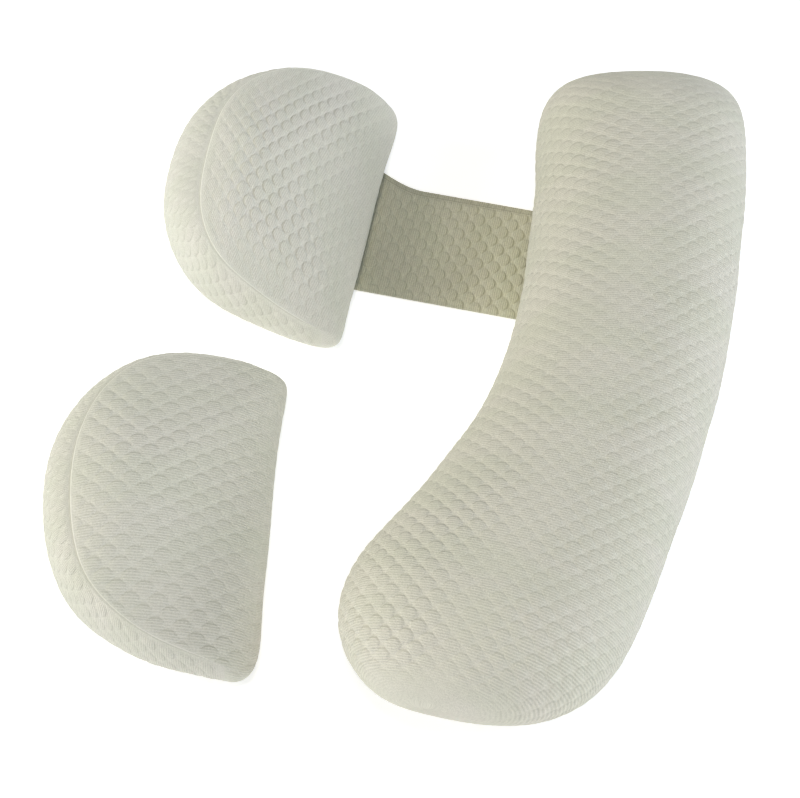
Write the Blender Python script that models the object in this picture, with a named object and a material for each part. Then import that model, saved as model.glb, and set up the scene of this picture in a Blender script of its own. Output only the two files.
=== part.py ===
"""A side sleeper's pregnancy pillow set, laid out for use: a bent bolster for the back and a half-round wedge
for the belly, joined by a wide strap that lies under both, with a second wedge of the same cut beside them.

Metres, +Z up. The set rests on z = 0. The sleeper lies between the wedge and the bolster, over the strap.
"""

import math

import bmesh
import bpy
import numpy as np

# Bolster: height of the filled body, where its side is widest, and how far its two ends round off
BOLSTER_HEIGHT = 0.150
BOLSTER_WIDEST_AT = 0.062
BOLSTER_NEAR_ROUNDING = 0.095
BOLSTER_FAR_ROUNDING = 0.080
BOLSTER_CROWN_POWER = 2.25
BOLSTER_BELLY_POWER = 2.6
BOLSTER_STATIONS = 42
BOLSTER_AROUND = 34

# Wedges: a half round whose straight side is a thin fold and whose curved side is a tall sewn-in wall
WEDGE_HEART = 0.110
WEDGE_DEPTH = 0.205
WEDGE_SLOPE_RUN = 0.200
WEDGE_SLOPE_POWER = 1.15
WEDGE_FOLD_TOP = 0.026
WEDGE_FOLD_MIDDLE = 0.016
WEDGE_FOLD_INSET = 0.006
WEDGE_WALL_HEIGHT = 0.094
WEDGE_CROWN = 0.020
BELLY_WEDGE_SEAM_INSET = 0.047
LOOSE_WEDGE_SEAM_INSET = 0.037
WEDGE_SEAM_DEPTH = 0.0022
WEDGE_SEAM_HALF_WIDTH = 0.005
WEDGE_AROUND = 72
WEDGE_TOP_RINGS = (0.0, 0.16, 0.32, 0.47, 0.61, 0.73, 0.83, 0.91, 0.97)
WEDGE_WALL_STEPS = (0.16, 0.36, 0.58, 0.80, 1.0)
WEDGE_FOOT_STEPS = (0.30, 0.60, 0.85)
WEDGE_FOOT_INSET = 0.022

# Strap: a flat double band of the cover cloth, wider where it goes under the wedge
STRAP_WIDTH = 0.130
STRAP_THICKNESS = 0.004
STRAP_EDGE_ROUNDING = 0.0015
STRAP_REACH_UNDER_WEDGE = 0.075
STRAP_REACH_UNDER_BOLSTER = 0.085
STRAP_FLARE_RISE = 0.028
STRAP_FLARE_LENGTH = 0.090
STRAP_FLARE_FROM = 0.042
STRAP_SEAM_FROM_EDGE = 0.006
STRAP_SEAM_DEPTH = 0.001
STRAP_STATIONS = 17
STRAP_SIDE_ROOM = 0.002

# Where the pieces lie: the middle of each wedge's fold and its turn, and the ends of the strap's clear run
BELLY_WEDGE_PLACE = (-0.035, 0.191)
BELLY_WEDGE_TURN = math.radians(169.2)
LOOSE_WEDGE_PLACE = (-0.130, -0.156)
LOOSE_WEDGE_TURN = math.radians(175.6)
STRAP_WEDGE_END = (-0.039, 0.180)
STRAP_BOLSTER_END = (0.121, 0.145)

SEAT_GAP = 0.0003
COVER_COLOUR = (0.60, 0.60, 0.50, 1.0)
STRAP_COLOUR = (0.52, 0.52, 0.41, 1.0)

# The bolster's widest line, as control points of a smooth closed curve. Each row is one section, from the near
# end to the far end: the point on the inner, hollow side and the point across from it on the outer side.
BOLSTER_NEAR_END = (0.008, -0.343)
BOLSTER_FAR_END = (0.243, 0.313)
BOLSTER_SECTIONS = (
    # inner_x, inner_y, outer_x, outer_y
    (-0.025, -0.331, 0.052, -0.351),
    (-0.052, -0.305, 0.104, -0.352),
    (-0.068, -0.257, 0.153, -0.335),
    (-0.047, -0.204, 0.187, -0.294),
    (0.004, -0.152, 0.209, -0.239),
    (0.049, -0.091, 0.239, -0.166),
    (0.081, -0.026, 0.267, -0.089),
    (0.101, 0.038, 0.293, -0.005),
    (0.112, 0.108, 0.309, 0.077),
    (0.124, 0.183, 0.322, 0.161),
    (0.125, 0.236, 0.329, 0.215),
    (0.129, 0.281, 0.333, 0.261),
    (0.147, 0.305, 0.327, 0.298),
    (0.193, 0.305, 0.294, 0.317),
)

# Each wedge's widest line, as control points of a smooth closed curve: from the middle of the fold round its far
# corner, along the curved back and round its near corner. Each row is one point, measured from the fold's middle.
BELLY_WEDGE_OUTLINE = (
    # from_fold, along
    (0.002, 0.000),
    (0.002, -0.070),
    (-0.006, -0.126),
    (0.012, -0.145),
    (0.040, -0.150),
    (0.083, -0.148),
    (0.129, -0.134),
    (0.175, -0.104),
    (0.206, -0.053),
    (0.209, 0.000),
    (0.201, 0.055),
    (0.175, 0.101),
    (0.136, 0.133),
    (0.087, 0.146),
    (0.040, 0.156),
    (0.000, 0.153),
    (0.004, 0.120),
    (0.002, 0.070),
)
LOOSE_WEDGE_OUTLINE = (
    # from_fold, along
    (-0.003, 0.000),
    (-0.001, -0.070),
    (-0.001, -0.125),
    (-0.008, -0.169),
    (0.040, -0.169),
    (0.088, -0.164),
    (0.139, -0.149),
    (0.182, -0.108),
    (0.204, -0.052),
    (0.203, 0.000),
    (0.189, 0.052),
    (0.166, 0.095),
    (0.130, 0.122),
    (0.086, 0.139),
    (0.040, 0.142),
    (0.003, 0.149),
    (-0.010, 0.121),
    (-0.003, 0.070),
)


def clear_scene():
    for obj in list(bpy.data.objects):
        bpy.data.objects.remove(obj)


def cloth(name, colour):
    """A plain matt cloth."""
    material = bpy.data.materials.new(name)
    material.use_nodes = True
    shader = material.node_tree.nodes["Principled BSDF"]
    shader.inputs["Base Color"].default_value = colour
    shader.inputs["Roughness"].default_value = 0.9
    shader.inputs["Metallic"].default_value = 0.0
    return material


def closed_curve(points, at):
    """A point of the smooth closed curve that the control points pull. Whole numbers count the points."""
    points = np.asarray(points, float)
    step = int(math.floor(at))
    f = at - step
    weights = ((1 - f) ** 3, 3 * f**3 - 6 * f**2 + 4, -3 * f**3 + 3 * f**2 + 3 * f + 1, f**3)
    around = [points[(step + k) % len(points)] for k in (-1, 0, 1, 2)]
    return sum(w * p for w, p in zip(weights, around)) / 6.0


def mesh_object(name, rings, material, first_pole=None, last_pole=None, cap_last=False):
    """One closed body of rings of points, each joined to the next, with its ends drawn to a pole or capped."""
    form = bmesh.new()
    loops = [[form.verts.new(p) for p in ring] for ring in rings]
    for low, high in zip(loops, loops[1:]):
        count = len(low)
        for k in range(count):
            form.faces.new((low[k], low[(k + 1) % count], high[(k + 1) % count], high[k]))
    for pole, loop in ((first_pole, loops[0]), (last_pole, loops[-1])):
        if pole is not None:
            tip = form.verts.new(pole)
            for k in range(len(loop)):
                form.faces.new((tip, loop[k], loop[(k + 1) % len(loop)]))
    if first_pole is None:
        form.faces.new(loops[0])
    if cap_last:
        form.faces.new(loops[-1])
    bmesh.ops.recalc_face_normals(form, faces=form.faces)
    mesh = bpy.data.meshes.new(name)
    form.to_mesh(mesh)
    form.free()
    mesh.shade_smooth()
    obj = bpy.data.objects.new(name, mesh)
    obj.data.materials.append(material)
    bpy.context.scene.collection.objects.link(obj)
    return obj


def bolster_outline():
    """The closed widest line: near end, out along the outer side, far end, and back along the inner side."""
    outer = [(row[2], row[3]) for row in BOLSTER_SECTIONS]
    inner = [(row[0], row[1]) for row in BOLSTER_SECTIONS]
    return [BOLSTER_NEAR_END, *outer, BOLSTER_FAR_END, *reversed(inner)]


def bolster_chord(outline, at):
    """The middle of the section there and the vector from it to the outer side."""
    outer = closed_curve(outline, at)
    inner = closed_curve(outline, -at)
    return (outer + inner) / 2.0, (outer - inner) / 2.0


def bolster_stations(outline):
    """Stations from end to end, closer together where the ends round off, each with its fullness, 0 to 1."""
    last = len(BOLSTER_SECTIONS) + 1.0
    fine = np.linspace(0.0, last, 600)
    middles = np.array([bolster_chord(outline, u)[0] for u in fine])
    run = np.concatenate([[0.0], np.cumsum(np.linalg.norm(np.diff(middles, axis=0), axis=1))])
    places = run[-1] * (1 - np.cos(np.linspace(0, math.pi, BOLSTER_STATIONS + 2))) / 2
    even = np.linspace(0.0, run[-1], BOLSTER_STATIONS + 2)
    places = 0.55 * places + 0.45 * even
    stations = []
    for place in places[1:-1]:
        near = min(1.0, place / BOLSTER_NEAR_ROUNDING)
        far = min(1.0, (run[-1] - place) / BOLSTER_FAR_ROUNDING)
        fullness = math.sqrt(1 - (1 - near) ** 2) * math.sqrt(1 - (1 - far) ** 2)
        stations.append((float(np.interp(place, run, fine)), fullness))
    return stations


def bolster_ring(middle, half, fullness):
    """One section: a full crown over a flatter belly that lies on the floor."""
    ring = []
    for k in range(BOLSTER_AROUND):
        angle = 2 * math.pi * (k + 0.5) / BOLSTER_AROUND
        c, s = math.cos(angle), math.sin(angle)
        power = BOLSTER_CROWN_POWER if s > 0 else BOLSTER_BELLY_POWER
        across = math.copysign(abs(c) ** (2 / power), c)
        rise = abs(s) ** (2 / power) * fullness
        if s > 0:
            z = BOLSTER_WIDEST_AT + (BOLSTER_HEIGHT - BOLSTER_WIDEST_AT) * rise
        else:
            z = max(0.0, BOLSTER_WIDEST_AT * (1 - 1.22 * rise))
        x, y = middle + half * across
        ring.append((x, y, z))
    return ring


def make_bolster(material):
    outline = bolster_outline()
    last = len(BOLSTER_SECTIONS) + 1.0
    rings = [bolster_ring(*bolster_chord(outline, at), full) for at, full in bolster_stations(outline)]
    near = (*closed_curve(outline, 0.0), BOLSTER_WIDEST_AT)
    far = (*closed_curve(outline, last), BOLSTER_WIDEST_AT)
    return mesh_object("back_bolster", rings, material, first_pole=near, last_pole=far)


def wedge_outline(sections):
    """The wedge's plan as evenly spaced points of the closed curve that the table's rows pull."""
    fine = np.array([closed_curve(sections, u) for u in np.linspace(0, len(sections), 601)])
    run = np.concatenate([[0.0], np.cumsum(np.linalg.norm(np.diff(fine, axis=0), axis=1))])
    even = np.linspace(0, run[-1], WEDGE_AROUND, endpoint=False)
    return np.stack([np.interp(even, run, fine[:, i]) for i in (0, 1)], axis=1)


def wedge_slope(x):
    """Height of the top panel's edge above the floor: low on the fold, full where it reaches the back."""
    share = min(1.0, max(0.0, x / WEDGE_SLOPE_RUN))
    rise = math.sin(share * math.pi / 2) ** WEDGE_SLOPE_POWER
    return WEDGE_FOLD_TOP + (WEDGE_WALL_HEIGHT - WEDGE_FOLD_TOP) * rise


def wedge_rays(outline, heart, seam_inset):
    """For each outline point: the point, the top panel's edge there, that edge's height, the height of the
    widest line, how much of a sewn wall there is, from 0 on the fold to 1, and the direction inwards."""
    rays = []
    for point in outline:
        inward = (heart - point) / np.linalg.norm(heart - point)
        share = max(0.0, point[0] / WEDGE_DEPTH)
        edge = point + inward * (WEDGE_FOLD_INSET + (seam_inset - WEDGE_FOLD_INSET) * share**1.5)
        height = wedge_slope(edge[0])
        wall = min(1.0, max(0.0, point[0] / 0.045))
        wall = wall * wall * (3 - 2 * wall)
        widest = WEDGE_FOLD_MIDDLE + (0.42 * height - WEDGE_FOLD_MIDDLE) * wall
        rays.append((point, edge, height, widest, wall, inward))
    return rays


def wedge_top(ray, heart, share):
    """A point of the crowned, sloping top, on the way from its middle to its edge."""
    _, edge, _, _, wall, _ = ray
    x, y = heart + (edge - heart) * share
    z = wedge_slope(x) + WEDGE_CROWN * (1 - share**2.2)
    distance = np.linalg.norm(edge - heart) * (1 - share)
    if distance < WEDGE_SEAM_HALF_WIDTH:
        z -= WEDGE_SEAM_DEPTH * wall * (1 - distance / WEDGE_SEAM_HALF_WIDTH)
    return x, y, z


def wedge_wall(ray, step):
    """A point of the wall, from the seam out and down to the widest line. On the fold there is no seam, and
    the cloth only turns over from the slope of the top."""
    point, edge, height, widest, wall, _ = ray
    start = math.radians(45) * (1 - wall)
    angle = start + (math.pi / 2 - start) * step
    out = ((math.sin(angle) - math.sin(start)) / (1 - math.sin(start))) ** (1 - 0.15 * wall)
    down = 1 - math.cos(angle) / math.cos(start)
    x, y = edge + (point - edge) * out
    return x, y, height + (widest - height) * down


def wedge_foot(ray, step):
    """A point below the widest line, where the body curves in to the floor."""
    point, _, _, widest, wall, inward = ray
    inset = WEDGE_FOOT_INSET * (0.75 + 0.25 * wall) * (1 - math.cos(step * math.pi / 2))
    x, y = point + inward * inset
    return x, y, max(0.0, widest * (1 - 1.03 * math.sin(step * math.pi / 2)))


def make_wedge(name, sections, seam_inset, material):
    heart = np.array([WEDGE_HEART, 0.0])
    rays = wedge_rays(wedge_outline(sections), heart, seam_inset)
    rings = [[wedge_top(ray, heart, share) for ray in rays] for share in WEDGE_TOP_RINGS[1:]]
    rings.append([wedge_top(ray, heart, 1.0) for ray in rays])
    rings += [[wedge_wall(ray, step) for ray in rays] for step in WEDGE_WALL_STEPS]
    rings += [[wedge_foot(ray, step) for ray in rays] for step in WEDGE_FOOT_STEPS]
    rings.append([wedge_foot(ray, 1.0) for ray in rays])
    pole = wedge_top(rays[0], heart, 0.0)
    return mesh_object(name, rings, material, first_pole=pole, cap_last=True)


def strap_flare(along):
    """How far the far edge runs out beyond the plain width, more and more towards the wedge."""
    into = min(1.0, max(0.0, (STRAP_FLARE_FROM - along) / STRAP_FLARE_LENGTH))
    return STRAP_FLARE_RISE * (1 - math.cos(math.pi * into)) / 2


def strap_section(along):
    """The strap's section as (across, height) points, from the near edge over the top to the far edge."""
    near = -STRAP_WIDTH / 2
    far = STRAP_WIDTH / 2 + strap_flare(along)
    top = STRAP_THICKNESS
    rounding = STRAP_EDGE_ROUNDING
    seam = far - STRAP_SEAM_FROM_EDGE
    return [
        (near + rounding, 0.0),
        (near, top / 2),
        (near + rounding, top),
        (seam - 0.002, top),
        (seam, top - STRAP_SEAM_DEPTH),
        (seam + 0.002, top),
        (far - rounding, top),
        (far, top / 2),
        (far - rounding, 0.0),
    ]


def strap_frame():
    """The start of the clear run, its direction, the direction across it and its length."""
    start, end = np.array(STRAP_WEDGE_END), np.array(STRAP_BOLSTER_END)
    length = float(np.linalg.norm(end - start))
    along = (end - start) / length
    return start, along, np.array([-along[1], along[0]]), length


def make_strap(material):
    start, along, across, length = strap_frame()
    rings = []
    for place in np.linspace(-STRAP_REACH_UNDER_WEDGE, length + STRAP_REACH_UNDER_BOLSTER, STRAP_STATIONS):
        middle = start + along * place
        rings.append([(*(middle + across * offset), height) for offset, height in strap_section(place)])
    return mesh_object("strap", rings, material, cap_last=True)


def cut_strap_channel(cushion):
    """Takes the strap's space, a little larger all round, out of the cushion's underside."""
    start, along, across, length = strap_frame()
    rings = []
    low = -STRAP_REACH_UNDER_WEDGE - STRAP_SIDE_ROOM
    high = length + STRAP_REACH_UNDER_BOLSTER + STRAP_SIDE_ROOM
    roof = STRAP_THICKNESS + SEAT_GAP
    for place in np.linspace(low, high, STRAP_STATIONS):
        far = STRAP_WIDTH / 2 + strap_flare(place) + STRAP_SIDE_ROOM
        near = -STRAP_WIDTH / 2 - STRAP_SIDE_ROOM
        corners = ((near, -0.02), (near, roof), (far, roof), (far, -0.02))
        rings.append([(*(start + along * place + across * offset), height) for offset, height in corners])
    cutter = mesh_object("strap_space_" + cushion.name, rings, cushion.data.materials[0], cap_last=True)
    cutter.hide_render = True
    cutter.display_type = "WIRE"
    cut = cushion.modifiers.new("strap channel", "BOOLEAN")
    cut.operation = "DIFFERENCE"
    cut.solver = "EXACT"
    cut.object = cutter


def main():
    clear_scene()
    cover = cloth("cover cloth", COVER_COLOUR)
    band = cloth("strap cloth", STRAP_COLOUR)
    bolster = make_bolster(cover)
    belly = make_wedge("belly_wedge", BELLY_WEDGE_OUTLINE, BELLY_WEDGE_SEAM_INSET, cover)
    belly.location = (*BELLY_WEDGE_PLACE, 0.0)
    belly.rotation_euler = (0.0, 0.0, BELLY_WEDGE_TURN)
    loose = make_wedge("loose_wedge", LOOSE_WEDGE_OUTLINE, LOOSE_WEDGE_SEAM_INSET, cover)
    loose.location = (*LOOSE_WEDGE_PLACE, 0.0)
    loose.rotation_euler = (0.0, 0.0, LOOSE_WEDGE_TURN)
    make_strap(band)
    cut_strap_channel(bolster)
    cut_strap_channel(belly)


main()
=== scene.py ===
"""The looks of the pregnancy pillow set: filled cushions and a strap in a pale bubble jacquard knit, on a
white studio floor. Each cushion's skin is the solid's form on a finer grid, with the wedges' seam moved a
few millimetres to its photographed line. It is filled out by a cloth simulation and has the knit's bubbles
raised in it. Metres, +Z up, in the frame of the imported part."""
import math
from typing import NamedTuple

import bpy
import numpy as np
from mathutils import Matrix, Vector


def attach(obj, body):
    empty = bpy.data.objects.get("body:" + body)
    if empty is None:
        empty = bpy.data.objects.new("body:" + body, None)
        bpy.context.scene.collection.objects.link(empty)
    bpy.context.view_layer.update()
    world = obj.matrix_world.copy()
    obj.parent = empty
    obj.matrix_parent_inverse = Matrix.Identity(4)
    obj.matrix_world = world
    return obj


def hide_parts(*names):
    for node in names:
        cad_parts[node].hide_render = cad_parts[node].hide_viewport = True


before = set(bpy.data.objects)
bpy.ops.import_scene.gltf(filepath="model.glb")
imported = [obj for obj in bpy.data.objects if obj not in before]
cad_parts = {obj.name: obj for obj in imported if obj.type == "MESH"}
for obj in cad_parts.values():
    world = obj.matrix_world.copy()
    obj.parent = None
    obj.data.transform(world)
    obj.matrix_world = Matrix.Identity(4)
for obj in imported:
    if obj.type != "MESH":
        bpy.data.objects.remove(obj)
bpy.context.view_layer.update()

# Bolster
BOLSTER_HEIGHT = 0.150
BOLSTER_WIDEST_AT = 0.062
BOLSTER_NEAR_ROUNDING = 0.095
BOLSTER_FAR_ROUNDING = 0.080
BOLSTER_CROWN_POWER = 2.25
BOLSTER_BELLY_POWER = 2.6
BOLSTER_SINKS = 1.22
BOLSTER_SWELL = 0.0008
BOLSTER_STRENGTH = 0.56
BOLSTER_INNER_MORE = 0.38
BOLSTER_OUTER_MORE = 0.42
BOLSTER_BEND_MORE = 0.38
BOLSTER_BEND_AT_Y = -0.25
BOLSTER_TAUT_LESS = 0.30
BOLSTER_TAUT_AT_Y = -0.03
BOLSTER_END_STRENGTH = 0.12
BOLSTER_GRID = (384, 256)
BOLSTER_CLOTH_GRID = (100, 76)

# Wedges
WEDGE_HEART = 0.110
WEDGE_DEPTH = 0.205
WEDGE_SLOPE_RUN = 0.200
WEDGE_SLOPE_POWER = 1.15
WEDGE_FOLD_TOP = 0.026
WEDGE_FOLD_MIDDLE = 0.013
WEDGE_FOLD_DROP = 0.009
WEDGE_FOLD_ROUNDING = 0.040
WEDGE_FOLD_INSET = 0.006
WEDGE_WALL_FROM_FOLD = 0.045
WEDGE_WALL_HEIGHT = 0.094
WEDGE_WIDEST_SHARE = 0.42
WEDGE_CROWN = 0.020
WEDGE_SEAM_FALLOFF = 2.5
WEDGE_SEAM_DEPTH = 0.0005
WEDGE_SEAM_HALF_WIDTH = 0.004
WEDGE_FOOT_INSET = 0.022
WEDGE_SWELL = 0.0007
WEDGE_COLUMNS = 560
WEDGE_CLOTH_COLUMNS = 130
WEDGE_CLOTH_STEP = 0.05
WEDGE_SEAM_ROWS = (0.0085, 0.0065, 0.0048, 0.0034, 0.0023, 0.0014, 0.0007, 0.0)

# Strap
STRAP_WIDTH = 0.130
STRAP_THICKNESS = 0.004
STRAP_BODY = 0.0026
STRAP_REACH_UNDER_WEDGE = 0.075
STRAP_REACH_UNDER_BOLSTER = 0.085
STRAP_FLARE_RISE = 0.028
STRAP_FLARE_LENGTH = 0.090
STRAP_FLARE_FROM = 0.042
STRAP_SEAM_FROM_EDGE = 0.006
STRAP_ROUNDING = 0.0008
STRAP_POLE_STEP = 0.0006
STRAP_EDGE_DROP = 0.0015
STRAP_STRENGTH = (0.80, 1.60)
STRAP_GRID = (270, 110)

# Ridges and grooves along a seam: height, place from the seam and width
WEDGE_GROOVE = (-0.0004, -0.0006, 0.0007)
WEDGE_LIP = (0.0005, 0.0008, 0.0008)
STRAP_STITCH = (-0.0007, 0.0, 0.0009)

# The channel that keeps a cushion's skin off the strap under it
CHANNEL_GAP = 0.0006
CHANNEL_SIDE = 0.0015
CHANNEL_BLEND = 0.010
CHANNEL_DEPTH_OF_EFFECT = 0.02

# Places and outlines
STRAP_WEDGE_END = (-0.039, 0.180)
STRAP_BOLSTER_END = (0.121, 0.145)
BOLSTER_NEAR_END = (0.008, -0.343)
BOLSTER_FAR_END = (0.243, 0.313)
BOLSTER_SECTIONS = (
    # inner_x, inner_y, outer_x, outer_y
    (-0.025, -0.331, 0.052, -0.351),
    (-0.052, -0.305, 0.104, -0.352),
    (-0.068, -0.257, 0.153, -0.335),
    (-0.047, -0.204, 0.187, -0.294),
    (0.004, -0.152, 0.209, -0.239),
    (0.049, -0.091, 0.239, -0.166),
    (0.081, -0.026, 0.267, -0.089),
    (0.101, 0.038, 0.293, -0.005),
    (0.112, 0.108, 0.309, 0.077),
    (0.124, 0.183, 0.322, 0.161),
    (0.125, 0.236, 0.329, 0.215),
    (0.129, 0.281, 0.333, 0.261),
    (0.147, 0.305, 0.327, 0.298),
    (0.193, 0.305, 0.294, 0.317),
)
BELLY_WEDGE_OUTLINE = (
    # from_fold, along
    (0.002, 0.000),
    (0.002, -0.070),
    (-0.006, -0.126),
    (0.012, -0.145),
    (0.040, -0.150),
    (0.083, -0.148),
    (0.129, -0.134),
    (0.175, -0.104),
    (0.206, -0.053),
    (0.209, 0.000),
    (0.201, 0.055),
    (0.175, 0.101),
    (0.136, 0.133),
    (0.087, 0.146),
    (0.040, 0.156),
    (0.000, 0.153),
    (0.004, 0.120),
    (0.002, 0.070),
)
LOOSE_WEDGE_OUTLINE = (
    # from_fold, along
    (-0.003, 0.000),
    (-0.001, -0.070),
    (-0.001, -0.125),
    (-0.008, -0.169),
    (0.040, -0.169),
    (0.088, -0.164),
    (0.139, -0.149),
    (0.182, -0.108),
    (0.204, -0.052),
    (0.203, 0.000),
    (0.189, 0.052),
    (0.166, 0.095),
    (0.130, 0.122),
    (0.086, 0.139),
    (0.040, 0.142),
    (0.003, 0.149),
    (-0.010, 0.121),
    (-0.003, 0.070),
)


class Wedge(NamedTuple):
    """One wedge: its outline, where it lies, and how its cloth is cut. seam_inset is how far in the seam lies
    at the tall back, and strength how raised the bubbles are, at the rim and in the middle."""
    name: str
    outline: tuple
    seam_inset: float
    place: tuple
    turn: float
    ribs_along_fold: bool
    repeat: tuple
    skew: float
    strength: tuple
    seed: int


BELLY_WEDGE = Wedge("belly_wedge", BELLY_WEDGE_OUTLINE, seam_inset=0.043, place=(-0.035, 0.191),
                    turn=math.radians(169.2), ribs_along_fold=True, repeat=(0.0217, 0.0079), skew=0.08,
                    strength=(0.65, 1.55), seed=61)
LOOSE_WEDGE = Wedge("loose_wedge", LOOSE_WEDGE_OUTLINE, seam_inset=0.033, place=(-0.130, -0.156),
                    turn=math.radians(175.6), ribs_along_fold=False, repeat=(0.0240, 0.0098), skew=-0.13,
                    strength=(0.90, 0.85), seed=83)

# The knit: bubbles stand in rows across its ribs, each row half a repeat on from the last. A repeat is a
# bubble's length along the ribs, then the distance to the next row. The bolster's cloth is drawn out
# towards its near end, where its ribs have turned by RIB_TURN radians.
RIBS_A_ROW = 4
STITCHES_A_RIB = 3.5
BOLSTER_REPEAT = (0.0224, 0.00845)
BOLSTER_ROW_GROWTH = -0.0045
BOLSTER_LENGTH_GROWTH = 0.0040
BOLSTER_CLOTH_X = 0.17
RIB_TURN = 0.30
RIB_TURN_FROM_Y = 0.17
RIB_TURN_OVER = 0.50
WEDGE_SLOPE_LENGTH = 1.04
STRIP_REPEAT = (0.0200, 0.0082)
STRIP_STRENGTH = 0.75
STRAP_REPEAT = (0.0210, 0.0085)
BUBBLE_ALONG = 0.35
BUBBLE_ACROSS = 0.70
BUBBLE_HEIGHT = 0.0010
FAR_FROM_SEAM = 0.1

# The knit's material: reliefs in metres, tones as shares of the way from the dark yarn to the light one
BUBBLE_BUMP = 0.00032
CREASE_DEPTH = 0.00009
RIB_RELIEF = 0.00015
STITCH_RELIEF = 0.000012
FLECK_RELIEF = 0.00045
# how much lighter the net is: partly a finer stitch, partly painted shade of the bubbles' ribs
NET_LIGHTER_PARTLY_PAINTED_SHADE = 0.06
# painted shade in the crease behind each bubble
CREASE_PAINTED_SHADE = 0.23
SEAM_THREAD = (0.0010, 0.0006)
SEAM_THREAD_LIGHTER = 0.60
SEAM_SHADE = (-0.0004, 0.0006)
SEAM_SHADE_DARKER = 0.50
YARN_SCALE = (14.0, 9.0, 1.0)
PATCH_COLOUR = (0.97, 0.985, 0.96, 1.0)
KNIT_SHADER = {
    "Roughness": 0.92,
    "Metallic": 0.0,
    "Specular IOR Level": 0.2,
    "Sheen Weight": 0.06,
    "Sheen Roughness": 0.5,
    "Sheen Tint": (0.95, 0.96, 0.88, 1.0),
}

# Cloth simulation: start inside the form by this much, let pressure fill it, and cap how far a point may
# move. What stays after FORM_PASSES of smoothing is the overall form, and what CREASE_PASSES take out is
# roughness.
CLOTH_START_INSET = 0.003
CLOTH_FRAMES = 20
CLOTH_CAP = 0.003
CLOTH_HOLD = 0.2
CREASE_PASSES = 2
FORM_PASSES = 60
CLOTH_SETTINGS = {
    "use_pressure": True,
    "uniform_pressure_force": 4.0,
    "vertex_group_mass": "held",
    "tension_stiffness": 60.0,
    "compression_stiffness": 60.0,
    "shear_stiffness": 20.0,
    "bending_stiffness": 0.8,
    "air_damping": 4.0,
    "quality": 6,
}

# Light: lamps stand at an azimuth from the camera's side, towards the right, and at an elevation above the
# floor
LAMP_SIZE = 1.3
LAMP_DISTANCE = 3.0
LAMPS = (
    # name, azimuth, elevation, power, red, green, blue
    ("left lamp", -90, 18, 45.0, 0.99, 1.00, 0.92),
    ("front lamp", 0, 18, 18.0, 1.00, 1.00, 1.00),
    ("right lamp", 90, 18, 34.0, 0.95, 0.96, 0.99),
    ("high right lamp", 90, 45, 8.0, 0.30, 0.66, 1.00),
    ("high lamp", -90, 86, 37.5, 1.00, 0.93, 0.77),
)
WORLD_COLOUR = (0.66, 0.74, 1.0, 1.0)
WORLD_STRENGTH = 0.19
FLOOR_REACH = 6.0
FLOOR_Z = -0.0006
FLOOR_SHADER = {
    "Base Color": (0.85, 0.85, 0.85, 1.0),
    "Roughness": 1.0,
    "Emission Color": (1.0, 1.0, 1.0, 1.0),
    "Emission Strength": 0.48,
}

# Camera
CAMERA_SENSOR = 36.0
CAMERA_LENS = 90.0
CAMERA_TILT = math.radians(60.0)
CAMERA_DISTANCE = 1.9048
CAMERA_TARGET = (-0.0092, -0.0067, 0.0)


def smooth(value):
    """A soft step from 0 at 0 to 1 at 1."""
    value = np.clip(value, 0.0, 1.0)
    return value * value * (3 - 2 * value)


def curve(points, at):
    """Points of the smooth closed curve that the control points pull. Whole numbers count the points."""
    points = np.asarray(points, float)
    at = np.asarray(at, float)
    step = np.floor(at).astype(int)
    f = (at - step)[..., None]
    weights = ((1 - f) ** 3, 3 * f**3 - 6 * f**2 + 4, -3 * f**3 + 3 * f**2 + 3 * f + 1, f**3)
    return sum(w * points[(step + k) % len(points)] for w, k in zip(weights, (-1, 0, 1, 2))) / 6.0


def waves(a, b, size, seed):
    """Gentle unevenness from -1 to 1 over a surface, whose humps are about this size."""
    chance = np.random.default_rng(seed)
    total = np.zeros(np.broadcast(a, b).shape)
    for _ in range(9):
        turn = chance.uniform(0, 2 * math.pi)
        pitch = size * chance.uniform(1.1, 2.6)
        shift = chance.uniform(0, 2 * math.pi)
        total += np.sin(2 * math.pi * (a * math.cos(turn) + b * math.sin(turn)) / pitch + shift)
    return total / 4.5


def wander(u, v, seed):
    """The place in the cloth, in repeats, with the small unevenness of a drawn knit."""
    return u + 0.035 * waves(u, v, 3.0, seed), v + 0.07 * waves(u, v, 7.0, seed + 1)


def ridge(place, height, middle, width):
    """Height of a rounded ridge along a line, or of a groove where height is below 0."""
    return height * np.exp(-((place - middle) / width) ** 2)


def bubbles(u, v):
    """Height of the knit's bubbles, 0 in the net between them to 1 on top. u is a place along the ribs and
    v across them, both in repeats: bubbles stand at whole numbers of u + v / 2 and u - v / 2."""
    p, q = u + v / 2, u - v / 2
    dp, dq = p - np.round(p), q - np.round(q)
    radius = np.hypot((dp + dq) / 2 / BUBBLE_ALONG, (dp - dq) / BUBBLE_ACROSS)
    chance = np.sin(np.round(p) * 12.9898 + np.round(q) * 78.233) * 43758.5453
    chance = chance - np.floor(chance)
    return smooth((1.30 - radius) / 0.75) * (0.75 + 0.25 * chance)


def strap_place(x, y):
    """Where a point is along the strap, from the start of its clear run, and across it. Also the run's length."""
    start, end = np.array(STRAP_WEDGE_END), np.array(STRAP_BOLSTER_END)
    length = float(np.linalg.norm(end - start))
    along = (end - start) / length
    dx, dy = x - start[0], y - start[1]
    return dx * along[0] + dy * along[1], dy * along[0] - dx * along[1], length


def strap_flare(along):
    """How far the far edge runs out beyond the plain width."""
    into = np.clip((STRAP_FLARE_FROM - along) / STRAP_FLARE_LENGTH, 0.0, 1.0)
    return STRAP_FLARE_RISE * (1 - np.cos(math.pi * into)) / 2


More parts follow.
